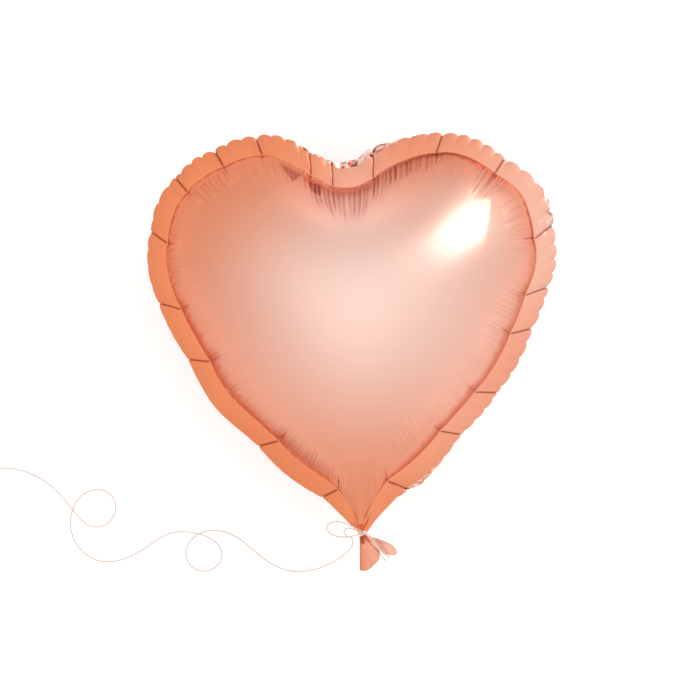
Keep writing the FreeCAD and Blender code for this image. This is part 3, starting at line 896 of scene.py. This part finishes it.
# Points of each route in mm, as in the CAD source.
STRING_ROUTE = [
    (-1.5, -210, 88.2), (-6, -208, 88.2), (-11, -205.8, 87), (-15.5, -206.3, 85.2),
    (-17.2, -210, 83.6), (-14.5, -213.6, 82), (-10, -215.6, 78.4), (-8.6, -220, 72),
    (-11, -227, 60.8), (-18, -235, 46), (-29, -243.5, 28), (-42, -250.5, 12),
    (-56, -254, 3.2), (-69, -253.6, 0.65), (-82, -249.3, 0.65), (-94, -241.6, 0.65),
    (-104.6, -231.8, 0.65), (-115.2, -221.6, 0.65), (-128, -214, 0.65),
    (-142, -211, 0.65), (-155, -213.2, 0.65), (-165.2, -221, 0.65),
    (-169.8, -231.2, 0.65), (-167, -242.2, 0.65), (-158.2, -249.8, 0.65),
    (-147, -250.3, 0.65), (-137.2, -244.2, 0.65), (-133.6, -234, 0.65),
    (-138, -223.6, 1.8), (-148.6, -215.8, 5.2), (-164, -211.2, 5.2),
    (-181, -211.2, 0.65), (-195.6, -218, 0.65), (-210, -227.4, 0.65),
    (-224.4, -234.4, 0.65), (-239, -238, 0.65), (-253.2, -236.2, 0.65),
    (-265.4, -229.2, 0.65), (-274.2, -217.8, 0.65), (-278, -204.4, 0.65),
    (-276.8, -190.6, 0.65), (-271.6, -178.6, 0.65), (-262.6, -170.2, 0.65),
    (-250.6, -167.4, 0.65), (-239.4, -171.2, 0.65), (-233.4, -181, 0.65),
    (-234.4, -193, 0.65), (-243.4, -202.4, 0.65), (-255.6, -204.4, 1.8),
    (-266.8, -196.6, 5.2), (-279.4, -178.6, 5.2), (-293, -163.6, 0.65),
    (-309, -152.2, 0.65), (-325.4, -145.4, 0.65), (-341, -143.6, 0.65),
    (-354, -145.6, 1.2),
]
BOW_LOOP_ROUTE = [
    (-1.4, -211.4, 88.2), (-7.5, -213.4, 86.2), (-16, -214.6, 82), (-24, -214, 78),
    (-30.2, -211.2, 75.2), (-33, -206.8, 74.2), (-30.8, -202.2, 75.6), (-24.6, -199.8, 79.2),
    (-15.6, -201.2, 85), (-7, -205.4, 89.8), (-1, -209, 89.8),
]
LEFT_END_ROUTE = [
    (1, -210.8, 88), (4.6, -213.4, 87.4), (7.8, -217.6, 85), (10.6, -222.6, 81.8),
    (13.8, -228.4, 78.2), (17.2, -234, 74), (19.4, -238.6, 69.4),
]
RIGHT_END_ROUTE = [
    (1, -209.6, 88.8), (5.6, -212.2, 88.8), (9.4, -216.6, 88), (12.4, -221.8, 84.6),
    (15.8, -227.4, 81), (19.8, -232.4, 77.2), (23.4, -236, 72.6),
]
COIL_ROWS = [4, 5, 5, 4]  # turns side by side in each layer, from the floor
POINTS_PER_TURN = 14


def box_of(node):
    """Low corner, high corner and middle of a CAD node."""
    low, high = (np.array(corner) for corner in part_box(node))
    return low, high, (low + high) / 2

def coil_points():
    """Turns of the put-away coil, side by side and in layers, in metres."""
    low, high, middle = box_of("string_coil")
    bundle = (high[2] - low[2]) / 2
    radius = (high[0] - low[0]) / 2 - bundle
    tie = box_of("coil_tie")[2]
    tie_angle = math.atan2(tie[1] - middle[1], tie[0] - middle[0])
    pitch = 1.04 * TWINE
    spots = []
    for layer, count in enumerate(COIL_ROWS):
        row = [((k - (count - 1) / 2) * pitch, layer) for k in range(count)]
        spots += row if layer % 2 else row[::-1]
    start = math.radians(70)
    points = []
    for turn in range(len(spots) * POINTS_PER_TURN):
        whole, part = divmod(turn, POINTS_PER_TURN)
        ahead = spots[min(whole + 1, len(spots) - 1)]
        share = float(smoothstep(0.72, 1.0, part / POINTS_PER_TURN))
        out = spots[whole][0] + (ahead[0] - spots[whole][0]) * share
        layer = spots[whole][1] + (ahead[1] - spots[whole][1]) * share
        angle = start + 2 * math.pi * turn / POINTS_PER_TURN
        at_tie = 0.5 + 0.5 * math.cos(angle - tie_angle)
        height = (layer - (len(COIL_ROWS) - 1) / 2) * pitch * 0.88
        sag = (middle[2] - 1.5 * pitch * 0.88 - 0.55 * TWINE) * (1 - at_tie ** 2)
        across = radius + out * 0.98
        points.append((middle[0] + across * math.cos(angle), middle[1] + across * math.sin(angle),
                       middle[2] + height - sag))
    return points


def route_line(name, points):
    """Evenly spaced points along the smooth NURBS line of a route in metres."""
    curve = bpy.data.curves.new(name, "CURVE")
    curve.dimensions = "3D"
    curve.resolution_u = 12
    spline = curve.splines.new("NURBS")
    spline.points.add(len(points) - 1)
    for spot, place in zip(spline.points, points):
        spot.co = (*place, 1)
    spline.order_u = 3
    spline.use_endpoint_u = True
    holder = add_object(name, curve)
    graph = bpy.context.evaluated_depsgraph_get()
    mesh = bpy.data.meshes.new_from_object(holder.evaluated_get(graph))
    line = np.array([v.co for v in mesh.vertices])
    bpy.data.meshes.remove(mesh)
    bpy.data.objects.remove(holder)
    bpy.data.curves.remove(curve)
    count = max(8, round(lengths_along(line)[-1] / TWINE_STEP))
    return at_shares(line, np.linspace(0, 1, count + 1))


def twisted_twine(name, line, material, closed=False, frayed=False):
    """Two-ply twine along a line: a two-lobed section that turns as it goes."""
    sides = 12
    count = len(line)
    if closed:
        along = np.roll(line, -1, axis=0) - np.roll(line, 1, axis=0)
    else:
        along = np.gradient(line, axis=0)
    along /= np.linalg.norm(along, axis=1)[:, None]
    across = np.zeros_like(line)
    guide = np.cross(along[0], [0.0, 0.0, 1.0])
    if np.linalg.norm(guide) < 0.1:
        guide = np.cross(along[0], [0.0, 1.0, 0.0])
    for i in range(count):
        guide = guide - along[i] * np.dot(guide, along[i])
        guide = guide / np.linalg.norm(guide)
        across[i] = guide
    other = np.cross(along, across)
    travelled = lengths_along(line)
    twist = travelled / TWIST_PITCH * math.pi * 2
    if closed:
        twist *= round(travelled[-1] / TWIST_PITCH) * TWIST_PITCH / travelled[-1]
    turn = np.arange(sides) / sides * 2 * math.pi
    lobe = TWINE / 2 * np.sqrt(0.40 + 0.60 * np.cos(turn) ** 2)
    swell = 1 + FRAYING * frayed * smoothstep(travelled[-1] - 3 * MM, travelled[-1], travelled)
    angle = turn[None] + twist[:, None]
    size = lobe[None] * swell[:, None]
    points = (line[:, None] + across[:, None] * (size * np.cos(angle))[..., None]
              + other[:, None] * (size * np.sin(angle))[..., None])
    faces = []
    for i in range(count if closed else count - 1):
        k = (i + 1) % count
        for j in range(sides):
            m = (j + 1) % sides
            faces.append((i * sides + j, i * sides + m, k * sides + m, k * sides + j))
    if not closed:
        faces.append(tuple(range(sides))[::-1])
        faces.append(tuple((count - 1) * sides + j for j in range(sides)))
    ply = np.tile(0.5 + 0.5 * np.sign(np.cos(turn + 0.01)), count)
    return add_mesh(name, points.reshape(-1, 3), faces, material, {"ply": ply})


def twine_piece(name, line, material, nodes, **kind):
    """Twine along a line, fixed to the balloon in place of its CAD nodes."""
    piece = twisted_twine(name, line, material, **kind)
    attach(piece, "balloon")
    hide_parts(*nodes)
    return piece

def add_cord(name, points, nodes, far_end, material):
    """A free cord along its route."""
    line = route_line(name, points)
    piece = twine_piece(name, line, material, nodes, frayed=far_end == "bare")

def add_wraps(material):
    """Three tight turns round the gathered neck."""
    low, high, middle = box_of("neck_wraps")
    radius = (high[0] - low[0]) / 2 - TWINE / 2
    turns, steps = 3.0, 96
    t = np.linspace(0, 1, int(turns * steps))
    angle = math.pi / 2 + t * turns * 2 * math.pi
    line = np.stack([middle[0] + radius * np.cos(angle),
                     middle[1] + (t - 0.5) * (high[1] - low[1] - TWINE),
                     middle[2] + radius * np.sin(angle)], axis=1)
    twine_piece("neck_winding", line, material, ["neck_wraps"])

def add_knot(material):
    """Small overhand knot, drawn tight on top of the winding."""
    low, high, middle = box_of("knot")
    half = (high - low) / 2 - TWINE * 0.42
    t = np.linspace(0, 2 * math.pi, 160, endpoint=False)
    line = np.stack([
        middle[0] + half[0] * (np.sin(t) + 2 * np.sin(2 * t)) / 2.6,
        middle[1] + half[1] * (np.cos(t) - 2 * np.cos(2 * t)) / 2.6,
        middle[2] - half[2] * 0.75 * np.sin(3 * t)], axis=1)
    return twine_piece("slip_knot", line, material, ["knot"], closed=True)

def add_coil_tie(material):
    """Twine ring that holds the put-away turns together."""
    low, high, middle = box_of("coil_tie")
    out = middle - box_of("string_coil")[2]
    out[2] = 0
    out /= np.linalg.norm(out)
    radius = (high[2] - low[2]) / 2 - TWINE / 2
    t = np.linspace(0, 2 * math.pi, 90, endpoint=False)
    line = middle + radius * (np.cos(t)[:, None] * out + np.sin(t)[:, None] * np.array([0, 0, 1.0]))
    return twine_piece("coil_binding", line, material, ["coil_tie"], closed=True)

def in_metres(route):
    return [tuple(value * MM for value in point) for point in route]

def add_twine(material):
    add_wraps(material)
    held_by = [add_knot(material), add_coil_tie(material)]
    add_cord("string_twine", in_metres(STRING_ROUTE) + coil_points(), ["string", "string_coil"],
             "bare", material)
    add_cord("bow_loop_twine", in_metres(BOW_LOOP_ROUTE), ["bow_loop"], "object", material)
    add_cord("left_end_twine", in_metres(LEFT_END_ROUTE), ["short_end_left"], "bare", material)
    add_cord("right_end_twine", in_metres(RIGHT_END_ROUTE), ["short_end_right"], "bare", material)

# ---- tail flaps and valve
TAIL_FILM = 0.25 * MM
ROOT_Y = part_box("front_tail_flap")[1][1] / MM
# Open edge of the front flap in mm, from its left corner to its right one.
FRONT_TIPS = [(-3.7, ROOT_Y - 31), (2.0, ROOT_Y - 31.4), (9.0, ROOT_Y - 27), (14.8, ROOT_Y - 19.6),
              (14.4, ROOT_Y - 14.6)]
FRONT_FOLDS = [(0.10, 0.05, 0.8), (0.34, 0.09, 1.0), (0.47, 0.05, -0.5), (0.78, 0.10, 0.7)]
# Back flap: half width in mm at shares of its length, and how it lies, as in the CAD source.
LEAF_SHARES = [0.0, 0.15, 0.35, 0.55, 0.70, 0.82, 0.92, 0.98, 1.0]
LEAF_WIDTHS = [1.4, 3.2, 6.1, 8.3, 8.9, 8.0, 5.6, 2.7, 0.6]
LEAF_START = 0.1  # from its hinge line, in mm
LEAF_LENGTH = 35.4
LEAF_TURN, LEAF_ROLL = 59.0, 50.0
LEAF_DROP = 2.6 * MM


def film_sheet(name, grid, marks, material, body, node):
    """Thin film on a grid of points, with its real thickness."""
    across, along = grid.shape[:2]
    index = np.arange(across * along).reshape(across, along)
    faces = [(int(index[i, j]), int(index[i + 1, j]), int(index[i + 1, j + 1]), int(index[i, j + 1]))
             for i in range(across - 1) for j in range(along - 1)]
    marks = {key: values.ravel() for key, values in marks.items()}
    piece = add_mesh(name, grid.reshape(-1, 3), faces, material, marks)
    thick = piece.modifiers.new("film", "SOLIDIFY")
    thick.thickness, thick.offset = TAIL_FILM, 0.0
    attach(piece, body)
    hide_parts(node)


def add_front_tail(material):
    """Fan with a few soft folds from its gathered root, and painted shade over its tucked root."""
    a, b = np.linspace(0, 1, 64)[:, None], np.linspace(0, 1, 56)[None]
    roots = at_shares(np.array([(-2.8, ROOT_Y), (2.8, ROOT_Y)]) * MM, a[:, 0])
    tips = at_shares(curve_through(FRONT_TIPS) * MM, a[:, 0])
    # The film leaves the tie at the root's width and widens a little way out.
    share = np.stack([np.clip((b - 0.17) / 0.83, 0, 1), b], axis=-1)
    flat = roots[:, None] * (1 - share) + tips[:, None] * share
    folds = sum(high * np.exp(-((a - spot) / wide) ** 2) for spot, wide, high in FRONT_FOLDS)
    # Flat beside its hinge line, so that it clears the knot when it bends up.
    off_root = smoothstep(0.15, 0.45, b)
    swell = 1.5 * np.sin(math.pi * a) * (1 - 0.3 * b) + folds * (0.9 - 0.35 * b)
    lift = SEAM_Z + (1.0 + swell * off_root - 1.5 * b ** 2) * MM
    root_pleats = 0.25 * MM * np.cos(a * 40) * (1 - smoothstep(0.1, 0.5, b))
    grid = np.concatenate([flat, (lift + root_pleats)[..., None]], axis=2)
    # Painted shade over the tucked root, along both side edges, along a fold line, at the tip and at the
    # root, and a faint painted sheen.
    tucked = smoothstep(0.18, 0.24, a) * (1 - smoothstep(0.60, 0.68, a)) * (1 - smoothstep(0.25, 0.29, b))
    left_edge, right_edge = 1 - smoothstep(0.03, 0.06, a), smoothstep(0.89, 0.92, a)
    line = np.exp(-((a - 0.30 - 0.12 * b) / 0.012) ** 2) * smoothstep(0.3, 0.5, b)
    crease = 0.48 * tucked + 0.4 * right_edge + 0.35 * left_edge + 0.3 * line
    crease = crease + 0.3 * smoothstep(0.97, 1.0, b) + 0.12 * (1 - smoothstep(0.0, 0.4, b))
    haze = 0.20 * smoothstep(0.16, 0.30, a) * (1 - right_edge) * (1 - 0.8 * tucked)
    haze = haze * smoothstep(0.05, 0.3, b) + 0.05
    marks = {"crease": np.clip(crease, 0, 1), "haze": haze}
    film_sheet("front_tail", grid, marks, material, "front_flap", "front_tail_flap")


def add_back_tail(material):
    """Leaf that is swung to one side and rolled, with a slight cup and a faint middle fold."""
    a, b = np.linspace(-1, 1, 49)[:, None], np.linspace(0, 1, 61)[None]
    width = spline_at(LEAF_SHARES, np.array(LEAF_WIDTHS)[:, None], b[0])[:, 0]
    across = a * width[None] * MM
    along = -(LEAF_START + (LEAF_LENGTH - LEAF_START) * b) * MM * np.ones_like(a)
    cup = (0.9 * (1 - a ** 2) * np.sin(math.pi * b) - 0.35 * np.exp(-(a / 0.06) ** 2) * (1 - b)) * MM
    cup = cup + 0.22 * MM * np.cos(a * 17) * (1 - smoothstep(0.1, 0.6, b))
    turn, roll = math.radians(LEAF_TURN), -math.radians(LEAF_ROLL)
    rolled_x = across * math.cos(roll) + cup * math.sin(roll)
    rolled_z = -across * math.sin(roll) + cup * math.cos(roll)
    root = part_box("front_tail_flap")[1][1] + 0.4 * MM
    grid = np.stack([rolled_x * math.cos(turn) - along * math.sin(turn),
                     root + rolled_x * math.sin(turn) + along * math.cos(turn),
                     SEAM_Z - LEAF_DROP + rolled_z], axis=2)
    # Painted shade along the side edges and at the root, and a painted sheen along the leaf.
    edge = smoothstep(0.93, 1.0, np.abs(a)) * np.ones_like(b)
    marks = {"crease": 0.12 * edge + 0.25 * (1 - smoothstep(0.0, 0.25, b)) * np.ones_like(a),
             "haze": 0.48 * smoothstep(0.05, 0.4, b) * (1 - 0.3 * edge)}
    film_sheet("back_tail", grid, marks, material, "back_flap", "back_tail_flap")


def add_valve(material):
    for node in ("valve_front_film", "valve_back_film"):
        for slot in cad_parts[node].material_slots:
            slot.material = material


# ---- light and floor
WINDOW_AT, WINDOW_AIM = (1.12, 0.93, 0.80), (0.05, 0.05, 0.1)
WINDOW_SIZE = (0.80, 0.56)
WINDOW_POWER = 5.2
SKY_BASE = 0.98
# Broad soft patches of the surroundings: gain, sharpness and direction.
SKY = [
    (0.20, 5.0, (0.0, 0.0, 1.0)),
    (-0.07, 3.0, (0.0, 1.0, 0.3)),
    (-0.16, 6.0, (1.0, 0.8, 0.35)),
    (-0.07, 3.0, (-1.0, 0.2, 0.4)),
]


def add_sky():
    """Even pale surroundings, brightest overhead."""
    world = bpy.data.worlds.new("studio")
    world.use_nodes = True
    tree = world.node_tree
    background = tree.nodes["Background"]
    background.inputs["Color"].default_value = (1.0, 0.985, 0.97, 1)
    direction = tree.nodes.new("ShaderNodeTexCoord").outputs["Generated"]

    def calculate(operation, source, value):
        made = tree.nodes.new("ShaderNodeMath")
        made.operation, made.inputs[1].default_value = operation, value
        tree.links.new(source, made.inputs[0])
        return made

    total = None
    for gain, sharpness, towards in SKY:
        dot = tree.nodes.new("ShaderNodeVectorMath")
        dot.operation = "DOT_PRODUCT"
        dot.inputs[1].default_value = Vector(towards).normalized()
        tree.links.new(direction, dot.inputs[0])
        facing = calculate("MAXIMUM", dot.outputs["Value"], 0.0)
        lobe = calculate("POWER", facing.outputs[0], sharpness)
        add = calculate("MULTIPLY_ADD", lobe.outputs[0], gain)
        if total is None:
            add.inputs[2].default_value = SKY_BASE
        else:
            tree.links.new(total, add.inputs[2])
        total = add.outputs[0]
    tree.links.new(total, background.inputs["Strength"])
    bpy.context.scene.world = world

def add_window():
    """One bright window to the upper right."""
    light = bpy.data.lights.new("window", "AREA")
    light.shape, light.energy = "RECTANGLE", WINDOW_POWER
    light.size, light.size_y = WINDOW_SIZE
    holder = add_object("window", light)
    holder.location = WINDOW_AT
    aim = Vector(WINDOW_AIM) - Vector(WINDOW_AT)
    holder.rotation_euler = aim.to_track_quat("-Z", "Y").to_euler()

def add_floor():
    half = 40.0  # far enough to meet the horizon in reflections
    corners = [(-half, -half, 0), (half, -half, 0), (half, half, 0), (-half, half, 0)]
    add_mesh("floor", corners, [(0, 1, 2, 3)], floor_material())


add_camera()
foil = foil_material("foil")
twine = twine_material("twine")
add_twine(twine)
add_foil(foil)
add_front_tail(foil)
add_back_tail(foil)
add_valve(film_material("valve_film"))
add_floor()
add_sky()
add_window()
bpy.context.scene.view_settings.view_transform = "Standard"
